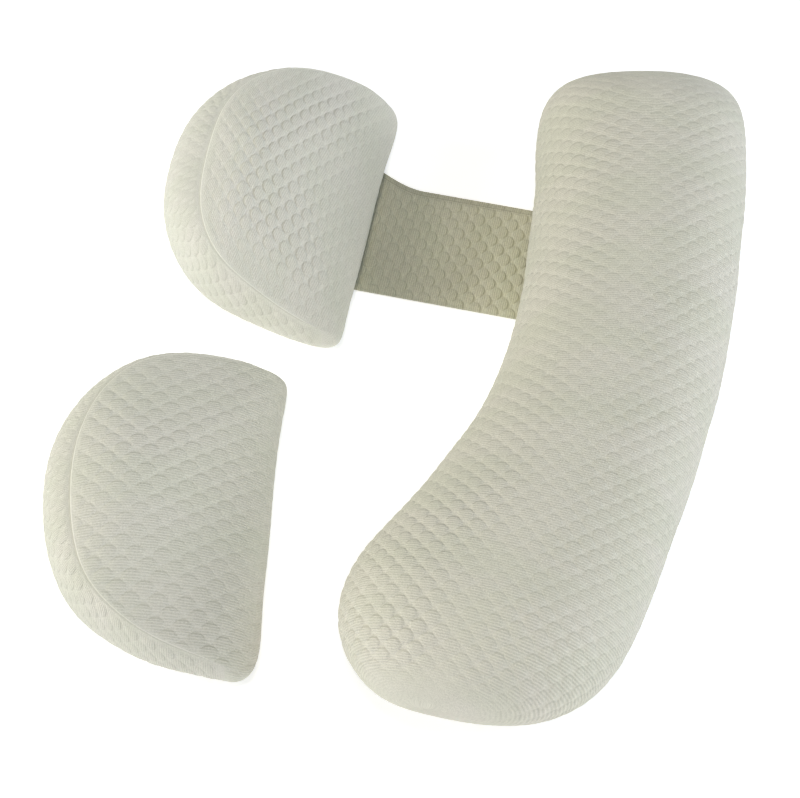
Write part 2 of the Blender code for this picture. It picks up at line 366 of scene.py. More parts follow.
def over_strap(points):
    """Lifts what would lie in the strap until it lies over it, and keeps all else above the floor."""
    x, y, z = points[..., 0], points[..., 1], points[..., 2]
    along, across, length = strap_place(x, y)
    outside = np.maximum(-STRAP_REACH_UNDER_WEDGE - along, along - length - STRAP_REACH_UNDER_BOLSTER)
    outside = np.maximum(outside, -STRAP_WIDTH / 2 - across)
    outside = np.maximum(outside, across - STRAP_WIDTH / 2 - strap_flare(along))
    lift = (STRAP_THICKNESS + CHANNEL_GAP) * smooth(1 - (outside - CHANNEL_SIDE) / CHANNEL_BLEND)
    points[..., 2] = np.maximum(z, 0.0) + lift * np.clip(1 - z / CHANNEL_DEPTH_OF_EFFECT, 0.0, 1.0)
    return points


def bolster_section(angle):
    """Across, from -1 to 1, and rise above the widest line as a share, for an angle round the section."""
    c, s = np.cos(angle), np.sin(angle)
    power = np.where(s > 0, BOLSTER_CROWN_POWER, BOLSTER_BELLY_POWER)
    return np.sign(c) * np.abs(c) ** (2 / power), np.sign(s) * np.abs(s) ** (2 / power)


def bolster_heights(rise):
    """Heights above the floor for a rise as a share. Below the widest line the underside is pressed
    flat."""
    crown = BOLSTER_WIDEST_AT + (BOLSTER_HEIGHT - BOLSTER_WIDEST_AT) * rise
    belly = np.maximum(0.0, BOLSTER_WIDEST_AT * (1 + BOLSTER_SINKS * rise))
    return np.where(rise > 0, crown, belly)


def bolster_angles(columns):
    """Angles round the section, from under its middle, evenly apart on the skin but sparse on the flat
    underside."""
    fine = np.linspace(-0.5 * math.pi, 1.5 * math.pi, 2881)
    across, rise = bolster_section(fine)
    z = bolster_heights(rise)
    step = np.hypot(np.diff(across) * 0.1025, np.diff(z))
    step *= np.where((z[1:] + z[:-1]) / 2 < 0.002, 0.25, 1.0)
    run = np.concatenate([[0.0], np.cumsum(step)])
    return np.interp(np.linspace(0, run[-1], columns, endpoint=False), run, fine)


def bolster_skin(rows, columns):
    """Points of the bolster, rows from its near end to its far end, with the poles, and for each row the
    way from the middle line to the outer side."""
    inner = [(row[0], row[1]) for row in BOLSTER_SECTIONS]
    outer = [(row[2], row[3]) for row in BOLSTER_SECTIONS]
    outline = [BOLSTER_NEAR_END, *outer, BOLSTER_FAR_END, *reversed(inner)]
    last = len(BOLSTER_SECTIONS) + 1.0
    fine = np.linspace(0.0, last, 600)
    middles = (curve(outline, fine) + curve(outline, -fine)) / 2
    run = np.concatenate([[0.0], np.cumsum(np.linalg.norm(np.diff(middles, axis=0), axis=1))])
    share = (np.arange(rows) + 1.0) / (rows + 1)
    # rows crowd a little towards both ends
    place = run[-1] * (0.55 * (1 - np.cos(math.pi * share)) / 2 + 0.45 * share)
    at = np.interp(place, run, fine)
    near = np.minimum(1.0, place / BOLSTER_NEAR_ROUNDING)
    far = np.minimum(1.0, (run[-1] - place) / BOLSTER_FAR_ROUNDING)
    fullness = np.sqrt(1 - (1 - near) ** 2) * np.sqrt(1 - (1 - far) ** 2)
    middle = (curve(outline, at) + curve(outline, -at)) / 2
    half = (curve(outline, at) - curve(outline, -at)) / 2
    across, rise = bolster_section(bolster_angles(columns))
    plan = middle[:, None, :] + half[:, None, :] * across[None, :, None]
    z = bolster_heights(rise[None, :] * fullness[:, None])
    points = np.concatenate([plan, z[..., None]], axis=2)
    poles = [np.array([*curve(outline, end), BOLSTER_WIDEST_AT]) for end in (0.0, last)]
    return points, poles, half


def bolster_cloth(points, half):
    """Each point's place in the flat cloth: along the ribs and across them. The ribs lie square across the
    far end and turn a little on the way to the near end. One more column closes the wrap."""
    closed = np.concatenate([points, points[:, :1]], axis=1)
    around = np.cumsum(np.linalg.norm(np.diff(closed, axis=1), axis=2), axis=1)
    girth = np.concatenate([np.zeros((len(points), 1)), around], axis=1)
    top = points.shape[1] // 2
    girth = girth - girth[:, top:top + 1]
    crown = points[:, top]
    plan_step = np.diff(crown[:, :2], axis=0)
    true_step = np.linalg.norm(np.diff(crown, axis=0), axis=1)
    plan_step *= (true_step / np.linalg.norm(plan_step, axis=1))[:, None]
    line = np.concatenate([[[0.0, 0.0]], np.cumsum(plan_step, axis=0)])
    centre = len(line) // 2
    line = line - line[centre] + crown[centre, :2]
    # the cloth keeps its width where the section shrinks towards an end
    side = half / np.linalg.norm(half, axis=1)[:, None]
    flat = line[:, None, :] - side[:, None, :] * girth[..., None]
    x, y = flat[..., 0] - BOLSTER_CLOTH_X, flat[..., 1]
    # how far the turning ribs have drifted sideways, and how many rows have gone by, at each place along
    fine = np.linspace(-0.8, 0.8, 1601)
    turn = RIB_TURN * smooth((RIB_TURN_FROM_Y - fine) / RIB_TURN_OVER)
    drift = np.cumsum(turn) * (fine[1] - fine[0])
    row_step = BOLSTER_REPEAT[1] + BOLSTER_ROW_GROWTH * np.clip(fine, -0.4, 0.4)
    rows = np.cumsum(1 / row_step) * (fine[1] - fine[0])
    along = x - np.interp(y, fine, drift)
    across = y + np.interp(y, fine, turn) * x
    repeat = BOLSTER_REPEAT[0] + BOLSTER_LENGTH_GROWTH * np.clip(across, -0.4, 0.4)
    return along / repeat, np.interp(across, fine, rows)


def wedge_slope(x):
    """Height of the top along the seam, whose thin side rounds over towards the fold."""
    share = np.clip(x / WEDGE_SLOPE_RUN, 0.0, 1.0)
    rise = np.sin(share * math.pi / 2) ** WEDGE_SLOPE_POWER
    rounding = WEDGE_FOLD_DROP * np.clip(1 - x / WEDGE_FOLD_ROUNDING, 0.0, 1.0) ** 2
    return WEDGE_FOLD_TOP + (WEDGE_WALL_HEIGHT - WEDGE_FOLD_TOP) * rise - rounding


def wedge_rim(wedge, columns):
    """Everything that a ray from the heart to one outline point needs, as arrays with one item a ray."""
    fine = curve(wedge.outline, np.linspace(0, len(wedge.outline), 3601))
    run = np.concatenate([[0.0], np.cumsum(np.linalg.norm(np.diff(fine, axis=0), axis=1))])
    even = np.linspace(0, run[-1], columns, endpoint=False)
    point = np.stack([np.interp(even, run, fine[:, i]) for i in (0, 1)], axis=1)
    heart = np.array([WEDGE_HEART, 0.0])
    inward = (heart - point) / np.linalg.norm(heart - point, axis=1)[:, None]
    share = np.maximum(0.0, point[:, 0] / WEDGE_DEPTH)
    # the seam lies square in from the outline, closer to it towards the fold
    ahead = np.roll(point, -1, axis=0) - np.roll(point, 1, axis=0)
    across = np.stack([-ahead[:, 1], ahead[:, 0]], axis=1) / np.linalg.norm(ahead, axis=1)[:, None]
    inset = WEDGE_FOLD_INSET + (wedge.seam_inset - WEDGE_FOLD_INSET) * share**WEDGE_SEAM_FALLOFF
    edge = point + across * inset[:, None]
    height = wedge_slope(edge[:, 0])
    wall = smooth(point[:, 0] / WEDGE_WALL_FROM_FOLD)
    widest = WEDGE_FOLD_MIDDLE + (WEDGE_WIDEST_SHARE * height - WEDGE_FOLD_MIDDLE) * wall
    reach = np.linalg.norm(edge - heart, axis=1)
    return dict(point=point, heart=heart, inward=inward, edge=edge, height=height, wall=wall, widest=widest,
                reach=reach, run=even, perimeter=run[-1])


def wedge_levels_fine(rim):
    """The rows of the fine grid. Up to 1 they are shares of the top, up to 2 of the wall, up to 3 of the
    foot and up to 4 of the underside. Rows crowd at the seam."""
    last = 1 - WEDGE_SEAM_ROWS[0] / rim["reach"]
    rows = [last * k / 72 for k in range(1, 73)]
    rows += [1 - d / rim["reach"] for d in WEDGE_SEAM_ROWS[1:]]
    wall = [0.010, 0.022, 0.036, 0.054, 0.076, 0.102, 0.132] + [0.132 + 0.868 * k / 32 for k in range(1, 33)]
    rows += [np.full_like(last, 1 + w) for w in wall]
    rows += [np.full_like(last, 2 + k / 16) for k in range(1, 17)]
    rows += [np.full_like(last, 3 + k / 14) for k in range(1, 14)]
    return np.array(rows)


def wedge_skin(rim, levels):
    """Points of the wedge for a grid of levels, one row each."""
    top = np.clip(levels, 0.0, 1.0)[..., None]
    heart, edge, point, inward, wall = rim["heart"], rim["edge"], rim["point"], rim["inward"], rim["wall"]
    plan = heart + (edge - heart) * top
    share = top[..., 0]
    z = wedge_slope(plan[..., 0]) + WEDGE_CROWN * (1 - share**1.8)
    distance = rim["reach"] * (1 - share)
    z -= WEDGE_SEAM_DEPTH * wall * smooth(1 - distance / WEDGE_SEAM_HALF_WIDTH)
    step = np.clip(levels - 1, 0.0, 1.0)
    start = math.radians(45) * (1 - wall) + math.radians(18) * wall
    angle = start + (math.pi / 2 - start) * step
    out = np.clip((np.sin(angle) - np.sin(start)) / (1 - np.sin(start)), 0.0, 1.0) ** (1 - 0.15 * wall)
    down = 1 - np.cos(angle) / np.cos(start)
    on_wall = levels > 1
    plan = np.where(on_wall[..., None], edge + (point - edge) * out[..., None], plan)
    seam_dip = WEDGE_SEAM_DEPTH * wall * smooth(1 - step / 0.07)
    z = np.where(on_wall, rim["height"] + (rim["widest"] - rim["height"]) * down - seam_dip, z)
    step = np.clip(levels - 2, 0.0, 1.0)
    inset = WEDGE_FOOT_INSET * (0.75 + 0.25 * wall) * (1 - np.cos(step * math.pi / 2))
    foot = point + inward * inset[..., None]
    on_foot = levels > 2
    plan = np.where(on_foot[..., None], foot, plan)
    z = np.where(on_foot, np.maximum(0.0, rim["widest"] * (1 - 1.03 * np.sin(step * math.pi / 2))), z)
    under = np.clip(levels - 3, 0.0, 1.0)[..., None]
    plan = np.where(under > 0, foot + (heart - foot) * under, plan)
    return np.concatenate([plan, z[..., None]], axis=2)


def wedge_cloth(wedge, points, rim, levels):
    """Two places in the cloth for each point, in repeats: in the top panel, which also wraps the fold, and
    in the wall's strip, whose ribs run down it. One more column closes the wrap. Also the seam's row, and
    how far each point lies past the seam."""
    flat = points[..., :2].copy()
    seam_row = int(np.argmax(levels[:, 0] >= 1.0 - 1e-9))
    gone = np.cumsum(np.linalg.norm(np.diff(points[seam_row:], axis=0), axis=2), axis=0)
    gone = np.concatenate([np.zeros((seam_row + 1, points.shape[1])), gone])
    flat[seam_row:] = rim["edge"] - rim["inward"] * gone[seam_row:, :, None]
    out, side = flat[..., 0] * WEDGE_SLOPE_LENGTH, flat[..., 1]
    if wedge.ribs_along_fold:
        panel = (side / wedge.repeat[0], (out + wedge.skew * side) / wedge.repeat[1])
    else:
        panel = (-out / wedge.repeat[0], -(side + wedge.skew * out) / wedge.repeat[1])
    panel = [np.concatenate([grid, grid[:, :1]], axis=1) for grid in panel]
    run = np.broadcast_to(np.append(rim["run"], rim["perimeter"]), (len(levels), levels.shape[1] + 1))
    down = np.concatenate([gone, gone[:, :1]], axis=1)
    strip = (down / STRIP_REPEAT[0], run / STRIP_REPEAT[1])
    panel_uv = np.stack(wander(*panel, wedge.seed), axis=-1)
    strip_uv = np.stack(wander(*strip, wedge.seed + 3), axis=-1)
    return panel_uv, strip_uv, seam_row, gone


def cubic_weights(f):
    """The shares of four neighbours in a row, for a place f of the way from the second to the third."""
    return (-0.5 * f + f**2 - 0.5 * f**3, 1 - 2.5 * f**2 + 1.5 * f**3,
            0.5 * f + 2 * f**2 - 1.5 * f**3, -0.5 * f**2 + 0.5 * f**3)


def sample(field, rows, columns):
    """Smooth values between a coarse grid's points, whose columns go round."""
    row, column = np.floor(rows).astype(int), np.floor(columns).astype(int)
    total = 0.0
    for i, row_weight in enumerate(cubic_weights(rows - row)):
        r = np.clip(row + i - 1, 0, field.shape[0] - 1)
        for j, column_weight in enumerate(cubic_weights(columns - column)):
            weight = (row_weight * column_weight)[..., None]
            total = total + weight * field[r, (column + j - 1) % field.shape[1]]
    return total


def face_corners(grid):
    """Each face's four corner values, for a grid with its closing column."""
    return np.stack([grid[:-1, :-1], grid[1:, :-1], grid[1:, 1:], grid[:-1, 1:]], axis=-2)


def grid_mesh(name, points, poles, uv=None):
    """A closed mesh of a grid whose columns go round and whose rows end in two poles."""
    rows, columns = points.shape[:2]
    index = np.arange(rows * columns).reshape(rows, columns)
    right = np.roll(index, -1, axis=1)
    quads = np.stack([index[:-1], index[1:], right[1:], right[:-1]], axis=-1).reshape(-1, 4)
    first, last = rows * columns, rows * columns + 1
    start = np.stack([np.full(columns, first), index[0], right[0]], axis=-1)
    end = np.stack([np.full(columns, last), right[-1], index[-1]], axis=-1)
    verts = np.concatenate([points.reshape(-1, 3), np.array(poles)])
    mesh = bpy.data.meshes.new(name)
    mesh.from_pydata(verts.tolist(), [], quads.tolist() + start.tolist() + end.tolist())
    if uv is not None:
        ends = []
        for row, order in ((0, (0, 1)), (-1, (1, 0))):
            sides = (uv[row, :-1], uv[row, 1:])
            middle = np.broadcast_to(uv[row].mean(axis=0), sides[0].shape)
            ends.append(np.stack([middle, sides[order[0]], sides[order[1]]], axis=1).reshape(-1, 2))
        flat = np.concatenate([face_corners(uv).reshape(-1, 2), *ends]).astype(np.float32)
        layer = mesh.uv_layers.new(name="cloth")
        layer.data.foreach_set("uv", flat.reshape(-1))
    mesh.update()
    return mesh


def add_object(name, mesh):
    """A smooth-shaded object of the mesh, linked into the scene."""
    obj = bpy.data.objects.new(name, mesh)
    bpy.context.scene.collection.objects.link(obj)
    mesh.shade_smooth()
    return obj


def coordinates_of(mesh):
    """The mesh's points as an array, a row each."""
    flat = np.empty(len(mesh.vertices) * 3, np.float32)
    mesh.vertices.foreach_get("co", flat)
    return flat.reshape(-1, 3).astype(float)


def vertex_normals(mesh):
    """The mesh's normals as an array, a row each."""
    normals = np.empty(len(mesh.vertices) * 3, np.float32)
    mesh.vertex_normals.foreach_get("vector", normals)
    return normals.reshape(-1, 3).astype(float)


def blurred(field, passes):
    """The field smoothed over its grid, whose columns go round."""
    for _ in range(passes):
        field = (np.roll(field, 1, axis=1) + 2 * field + np.roll(field, -1, axis=1)) / 4
        padded = np.concatenate([field[:1], field, field[-1:]])
        field = (padded[:-2] + 2 * field + padded[2:]) / 4
    return field


def filled_out(name, points, poles, firm):
    """How far each of the grid's points moves when pressure fills the cloth out from a little inside its
    form. firm is 1 where the cloth is held, on the floor and along a seam."""
    mesh = grid_mesh(name, points, poles)
    normals = vertex_normals(mesh)
    firm = np.concatenate([firm.reshape(-1), [0.0, 1.0 if poles[1][2] < 0.01 else 0.0]])
    firm = np.maximum(firm, CLOTH_HOLD)
    before = np.concatenate([points.reshape(-1, 3), np.array(poles)])
    start = before - normals * (CLOTH_START_INSET * (1 - firm))[:, None]
    mesh.vertices.foreach_set("co", start.reshape(-1).astype(np.float32))
    obj = add_object(name, mesh)
    group = obj.vertex_groups.new(name="held")
    for level in range(1, 11):
        chosen = np.nonzero(np.round(firm * 10) == level)[0]
        if len(chosen):
            group.add(chosen.tolist(), level / 10, "REPLACE")
    modifier = obj.modifiers.new("cloth", "CLOTH")
    for key, value in CLOTH_SETTINGS.items():
        setattr(modifier.settings, key, value)
    modifier.settings.effector_weights.gravity = 0.0
    modifier.point_cache.frame_start = 1
    modifier.point_cache.frame_end = CLOTH_FRAMES
    for number in range(1, CLOTH_FRAMES + 1):
        bpy.context.scene.frame_set(number)
    after = coordinates_of(obj.evaluated_get(bpy.context.evaluated_depsgraph_get()).to_mesh())
    bpy.data.objects.remove(obj)
    bpy.data.meshes.remove(mesh)
    bpy.context.scene.frame_set(1)
    move = (after - before)[:-2].reshape(points.shape)
    # the overall form stays the measured one: what the cloth adds is its creases and swells
    move = blurred(move, CREASE_PASSES) - blurred(move, FORM_PASSES)
    size = np.linalg.norm(move, axis=2, keepdims=True)
    ends = np.minimum(np.arange(len(points)), np.arange(len(points))[::-1]) / 8
    return move * np.minimum(1.0, CLOTH_CAP / np.maximum(size, 1e-9)) * smooth(ends)[:, None, None]


def raise_bubbles(mesh, height, strength, from_seam=None):
    """Moves the grid's points out along the skin by the height given for each. Notes for the material how
    raised the bubbles are, and how far each point lies from a seam."""
    far = np.full(height.size, FAR_FROM_SEAM) if from_seam is None else from_seam.reshape(-1)
    strength = strength.reshape(-1)
    for name, values, at_poles in (("strength", strength, 0.5), ("from_seam", far, FAR_FROM_SEAM)):
        marks = mesh.attributes.new(name, "FLOAT", "POINT")
        marks.data.foreach_set("value", np.append(values, [at_poles, at_poles]).astype(np.float32))
    lift = np.concatenate([height.reshape(-1), [0.0, 0.0]])
    coordinates = coordinates_of(mesh) + vertex_normals(mesh) * lift[:, None]
    coordinates[:, 2] = np.maximum(coordinates[:, 2], 0.0)
    mesh.vertices.foreach_set("co", coordinates.reshape(-1).astype(np.float32))
    mesh.update()


def off_the_floor(z):
    """0 on the floor to 1 a little above it, for relief that the floor presses flat."""
    return smooth((z - 0.001) / 0.012)


def bolster_strength(points, u, v):
    """How raised the bubbles are. The cloth is drawn tight along the crown and at the ends, so its bubbles
    stand lower there than on the flanks, and highest inside the bend."""
    rows, columns = points.shape[:2]
    y = points[..., 1]
    side = np.sin(np.linspace(-math.pi, math.pi, columns, endpoint=False))[None, :]
    inner, outer = smooth((side - 0.05) / 0.45), smooth((-side - 0.05) / 0.45)
    inner_bend = smooth(side / 0.6) * smooth(1 - np.abs(y - BOLSTER_BEND_AT_Y) / 0.16)
    strength = BOLSTER_STRENGTH + BOLSTER_INNER_MORE * inner + BOLSTER_OUTER_MORE * outer
    strength = strength + BOLSTER_BEND_MORE * inner_bend
    strength *= 1 - BOLSTER_TAUT_LESS * smooth(1 - np.abs(y - BOLSTER_TAUT_AT_Y) / 0.10) * inner
    strength *= 1 + 0.28 * waves(u, v, 6.0, 5)
    along = np.linspace(0.0, 1.0, rows)[:, None]
    from_ends = smooth((along - 0.005) / 0.09) * smooth((0.995 - along) / 0.20)
    return strength * (BOLSTER_END_STRENGTH + (1 - BOLSTER_END_STRENGTH) * from_ends)


def make_bolster(material):
    """The bolster's cover on its fine grid, filled out and with its bubbles raised."""
    points, poles, _ = bolster_skin(*BOLSTER_CLOTH_GRID)
    firm = smooth(1.5 - points[..., 2] / 0.008)
    move = filled_out("bolster cloth", points, poles, firm)
    rows, columns = BOLSTER_GRID
    points, poles, half = bolster_skin(rows, columns)
    share = (np.arange(rows) + 1.0) / (rows + 1) * (BOLSTER_CLOTH_GRID[0] + 1) - 1
    around = np.arange(columns) * BOLSTER_CLOTH_GRID[1] / columns
    shares, arounds = np.meshgrid(share, around, indexing="ij")
    points = over_strap(points + sample(move, shares, arounds))
    u, v = wander(*bolster_cloth(points, half), 11)
    mesh = grid_mesh("back_bolster_cover", points, poles, np.stack([u, v], axis=-1))
    u, v = u[:, :-1], v[:, :-1]
    strength = bolster_strength(points, u, v)
    height = BUBBLE_HEIGHT * strength * bubbles(u, v)
    height += BOLSTER_SWELL * waves(points[..., 0], points[..., 1] - points[..., 2], 0.07, 21)
    raise_bubbles(mesh, height * off_the_floor(points[..., 2]), strength)
    mesh.materials.append(material)
    return add_object("back_bolster_cover", mesh)


def wedge_filling(wedge):
    """How the filled cloth moves each point of a coarse grid of the wedge."""
    rim = wedge_rim(wedge, WEDGE_CLOTH_COLUMNS)
    levels = np.arange(WEDGE_CLOTH_STEP, 4.0 - WEDGE_CLOTH_STEP / 2, WEDGE_CLOTH_STEP)
    levels = np.broadcast_to(levels[:, None], (len(levels), WEDGE_CLOTH_COLUMNS))
    points = wedge_skin(rim, levels)
    top = wedge_slope(np.array(WEDGE_HEART)) + WEDGE_CROWN
    poles = [np.array([*rim["heart"], z]) for z in (top, 0.0)]
    seam = np.clip(1 - np.abs(levels - 1) / 0.06, 0.0, 1.0) * rim["wall"]
    firm = np.maximum(smooth(1.5 - points[..., 2] / 0.006), 0.9 * seam)
    return filled_out(wedge.name + " cloth", points, poles, firm)


def placed(wedge, points):
    """The wedge's points turned and moved to where it lies, and lifted over the strap."""
    c, s = math.cos(wedge.turn), math.sin(wedge.turn)
    world = points.copy()
    world[..., 0] = wedge.place[0] + c * points[..., 0] - s * points[..., 1]
    world[..., 1] = wedge.place[1] + s * points[..., 0] + c * points[..., 1]
    return over_strap(world)


def lay_strip(mesh, panel_uv, strip_uv, in_strip):
    """Gives the faces of the wall's strip their own place in the cloth."""
    corners = np.where(in_strip[..., None, None], face_corners(strip_uv), face_corners(panel_uv))
    corners = corners.reshape(-1, 2)
    layer = mesh.uv_layers["cloth"]
    flat = np.empty(len(layer.data) * 2, np.float32)
    layer.data.foreach_get("uv", flat)
    flat[:corners.size] = corners.reshape(-1)
    layer.data.foreach_set("uv", flat)


def wedge_relief(wedge, rim, levels, points, panel_uv, strip_uv, gone):
    """How far each point is raised, how raised its bubbles are, and how far it lies from the seam."""
    reach = rim["reach"] * (1 - np.minimum(levels, 1.0))
    from_seam = np.where(levels <= 1.0, reach, -gone)
    seamed = rim["wall"][None, :]
    # bubbles fade to nothing at the seam, so that the two panels' patterns don't meet
    fade = 1 - seamed * (1 - smooth(np.abs(from_seam) / 0.008))
    fade = fade * np.where(levels > 1.0, 1 - smooth(1 - np.abs(seamed - 0.5) / 0.35), 1.0)
    panel_bubbles = bubbles(panel_uv[:, :-1, 0], panel_uv[:, :-1, 1])
    strip_bubbles = bubbles(strip_uv[:, :-1, 0], strip_uv[:, :-1, 1])
    mix = np.where(levels > 1.0, smooth((seamed - 0.3) / 0.4), 0.0)
    at_rim, at_heart = wedge.strength
    strength = at_rim + (at_heart - at_rim) * smooth((reach - 0.01) / 0.06)
    strength *= 1 + 0.25 * waves(points[..., 0], points[..., 1], 0.08, wedge.seed + 5)
    strength *= 0.40 + 0.60 * smooth(points[..., 0] / 0.035)
    strength = (strength * (1 - mix) + STRIP_STRENGTH * mix) * fade
    height = BUBBLE_HEIGHT * strength * (panel_bubbles * (1 - mix) + strip_bubbles * mix)
    height += WEDGE_SWELL * waves(points[..., 0], points[..., 1], 0.06, wedge.seed + 7) * fade
    height += (ridge(from_seam, *WEDGE_GROOVE) + ridge(from_seam, *WEDGE_LIP)) * seamed
    return height, strength, from_seam * (1 + 20 * (1 - seamed))


def make_wedge(wedge, material):
    """A wedge's cover on its fine grid, filled out, with its seam and with its bubbles raised."""
    move = wedge_filling(wedge)
    rim = wedge_rim(wedge, WEDGE_COLUMNS)
    levels = wedge_levels_fine(rim)
    around = np.arange(WEDGE_COLUMNS) * WEDGE_CLOTH_COLUMNS / WEDGE_COLUMNS
    points = wedge_skin(rim, levels)
    points = points + sample(move, levels / WEDGE_CLOTH_STEP - 1, np.broadcast_to(around, levels.shape))
    panel_uv, strip_uv, seam_row, gone = wedge_cloth(wedge, points, rim, levels)
    crown = float(points[0, :, 2].mean())
    world = placed(wedge, points)
    poles = placed(wedge, np.array([[*rim["heart"], z] for z in (crown, 0.0)]))
    mesh = grid_mesh(wedge.name + "_cover", world, poles, panel_uv)
    # faces past the seam, but for the fold's, take their place from the strip
    in_strip = (np.arange(len(levels) - 1)[:, None] >= seam_row) & (rim["wall"][None, :] > 0.5)
    lay_strip(mesh, panel_uv, strip_uv, in_strip)
    height, strength, seam_mark = wedge_relief(wedge, rim, levels, points, panel_uv, strip_uv, gone)
    raise_bubbles(mesh, height * off_the_floor(world[..., 2]), strength, seam_mark)
    mesh.materials.append(material)
    return add_object(wedge.name + "_cover", mesh)


def strap_section(near, far):
    """Across the strap for each row: its top from the near edge to the far one, then its underside back.
    Also the rise as a share of the band's thickness, and which columns are its top."""
    rim = np.array([0.0006, 0.0001, 0.0, 0.0002, STRAP_ROUNDING])
    level = np.array([0.0, 0.25, 0.5, 0.8, 1.0])
    fine = STRAP_GRID[1]
    width = (far - near - 2 * STRAP_ROUNDING)[:, None]
    near_rim = near + np.broadcast_to(rim[:-1], (len(far), 4))
    top = near + STRAP_ROUNDING + width * np.linspace(0, 1, fine)
    far_rim = far[:, None] - rim[::-1][1:]
    under = np.linspace(1, 0, 10)[1:-1]
    below = near + STRAP_ROUNDING + width * under
    across = np.concatenate([near_rim, top, far_rim, below], axis=1)
    rise = np.concatenate([level[:-1], np.ones(fine), level[::-1][1:], np.zeros(len(under))])
    top_of = np.zeros_like(rise)
    top_of[4:4 + fine] = 1.0
    return across, rise, top_of


def make_strap(material):
    """The strap: a flat tube section, its top a fine grid, closed round its edges. Also its cut width,
    length and area."""
    rows = STRAP_GRID[0]
    length = strap_place(0.0, 0.0)[2]
    start, end = np.array(STRAP_WEDGE_END), np.array(STRAP_BOLSTER_END)
    direction = (end - start) / length
    square = np.array([-direction[1], direction[0]])
    first = -STRAP_REACH_UNDER_WEDGE + STRAP_ROUNDING
    last = length + STRAP_REACH_UNDER_BOLSTER - STRAP_ROUNDING
    along = np.linspace(first, last, rows)
    near = -STRAP_WIDTH / 2
    far = STRAP_WIDTH / 2 + strap_flare(along)
    a, rise, top_of = strap_section(near, far)
    b = np.broadcast_to(along[:, None], a.shape)
    at_wedge, at_bolster = STRAP_STRENGTH
    # strength also sets the strap's painted shade: darkest near the belly wedge and at the edges
    strength = at_wedge + (at_bolster - at_wedge) * smooth((b + 0.005) / 0.13)
    strength = strength * (1 + 0.2 * waves(a, b, 0.05, 41))
    inside = np.minimum(a - near, far[:, None] - STRAP_SEAM_FROM_EDGE - a)
    plain = smooth(inside / 0.005) * top_of
    strength = strength * (0.7 + 0.3 * plain)
    u, v = wander(a / STRAP_REPEAT[0], b / STRAP_REPEAT[1], 31)
    raised = (STRAP_THICKNESS - STRAP_BODY) * np.minimum(strength, 1.0) * plain * bubbles(u, v)
    from_seam = a - (far[:, None] - STRAP_SEAM_FROM_EDGE)
    edge_drop = -STRAP_EDGE_DROP * smooth((from_seam - 0.0005) / 0.0055)
    top_relief = raised + ridge(from_seam, *STRAP_STITCH) + edge_drop
    z = STRAP_BODY * rise[None, :] + top_of[None, :] * top_relief
    ends = np.minimum(along - along[0], along[-1] - along)
    z = z * (0.55 + 0.45 * smooth(ends / 0.003))[:, None]
    plan = start + direction * b[..., None] + square * a[..., None]
    points = np.concatenate([plan, z[..., None]], axis=2)
    poles = []
    for place, far_edge in ((along[0] - STRAP_POLE_STEP, far[0]), (along[-1] + STRAP_POLE_STEP, far[-1])):
        middle = start + direction * place + square * float((near + far_edge) / 2)
        poles.append(np.array([*middle, STRAP_BODY * 0.3]))
    uv = np.stack([np.concatenate([grid, grid[:, :1]], axis=1) for grid in (u, v)], axis=-1)
    mesh = grid_mesh("strap_band", points, poles, uv)
    raise_bubbles(mesh, np.zeros_like(z), strength, -from_seam)
    mesh.materials.append(material)
    area = float(((far - near) * (along[1] - along[0])).sum())
    return add_object("strap_band", mesh), float((far - near).max()), float(along[-1] - along[0]), area


def srgb(red, green, blue):
    """A colour's linear values from the usual 0 to 255 ones."""
    shares = [c / 255 for c in (red, green, blue)]
    return (*(c / 12.92 if c <= 0.04045 else ((c + 0.055) / 1.055) ** 2.4 for c in shares), 1.0)


class Graph:
    """A material's nodes, added and wired in one line each."""

    def __init__(self, name, shader_values):
        self.material = bpy.data.materials.new(name)
        self.material.use_nodes = True
        self.tree = self.material.node_tree
        self.shader = self.tree.nodes["Principled BSDF"]
        for socket, value in shader_values.items():
            self.shader.inputs[socket].default_value = value

    def node(self, kind, settings=None, **inputs):
        """A new node. Its inputs are given by name, or by number as i0, i1 and so on."""
        made = self.tree.nodes.new(kind)
        for key, value in (settings or {}).items():
            setattr(made, key, value)
        for key, value in inputs.items():
            numbered = key[0] == "i" and key[1:].isdigit()
            socket = made.inputs[int(key[1:]) if numbered else key.replace("_", " ")]
            if hasattr(value, "is_output"):
                self.tree.links.new(value, socket)
            else:
                socket.default_value = value
        return made

    def math(self, operation, first, second=0.0):
        return self.node("ShaderNodeMath", {"operation": operation}, i0=first, i1=second).outputs[0]

    def smooth_range(self, value, low, high):
        """0 at low to 1 at high, eased at both ends."""
        settings = {"interpolation_type": "SMOOTHSTEP"}
        return self.node("ShaderNodeMapRange", settings, i0=value, i1=low, i2=high, i3=0.0, i4=1.0).outputs[0]

    def bell(self, value, middle, width):
        """1 at the middle, falling to 0 a width away on both sides."""
        away = self.math("ABSOLUTE", self.math("SUBTRACT", value, middle))
        return self.smooth_range(away, width, 0.0)

    def ramp(self, value, low, high, first, second):
        """The first colour at low to the second at high."""
        made = self.node("ShaderNodeValToRGB", i0=value)
        for stop, position, colour in zip(made.color_ramp.elements, (low, high), (first, second)):
            stop.position = position
            stop.color = colour
        return made.outputs[0]

    def multiplied(self, colour, other):
        settings = {"data_type": "RGBA", "blend_type": "MULTIPLY"}
        return self.node("ShaderNodeMix", settings, Factor=1.0, i6=colour, i7=other).outputs[2]


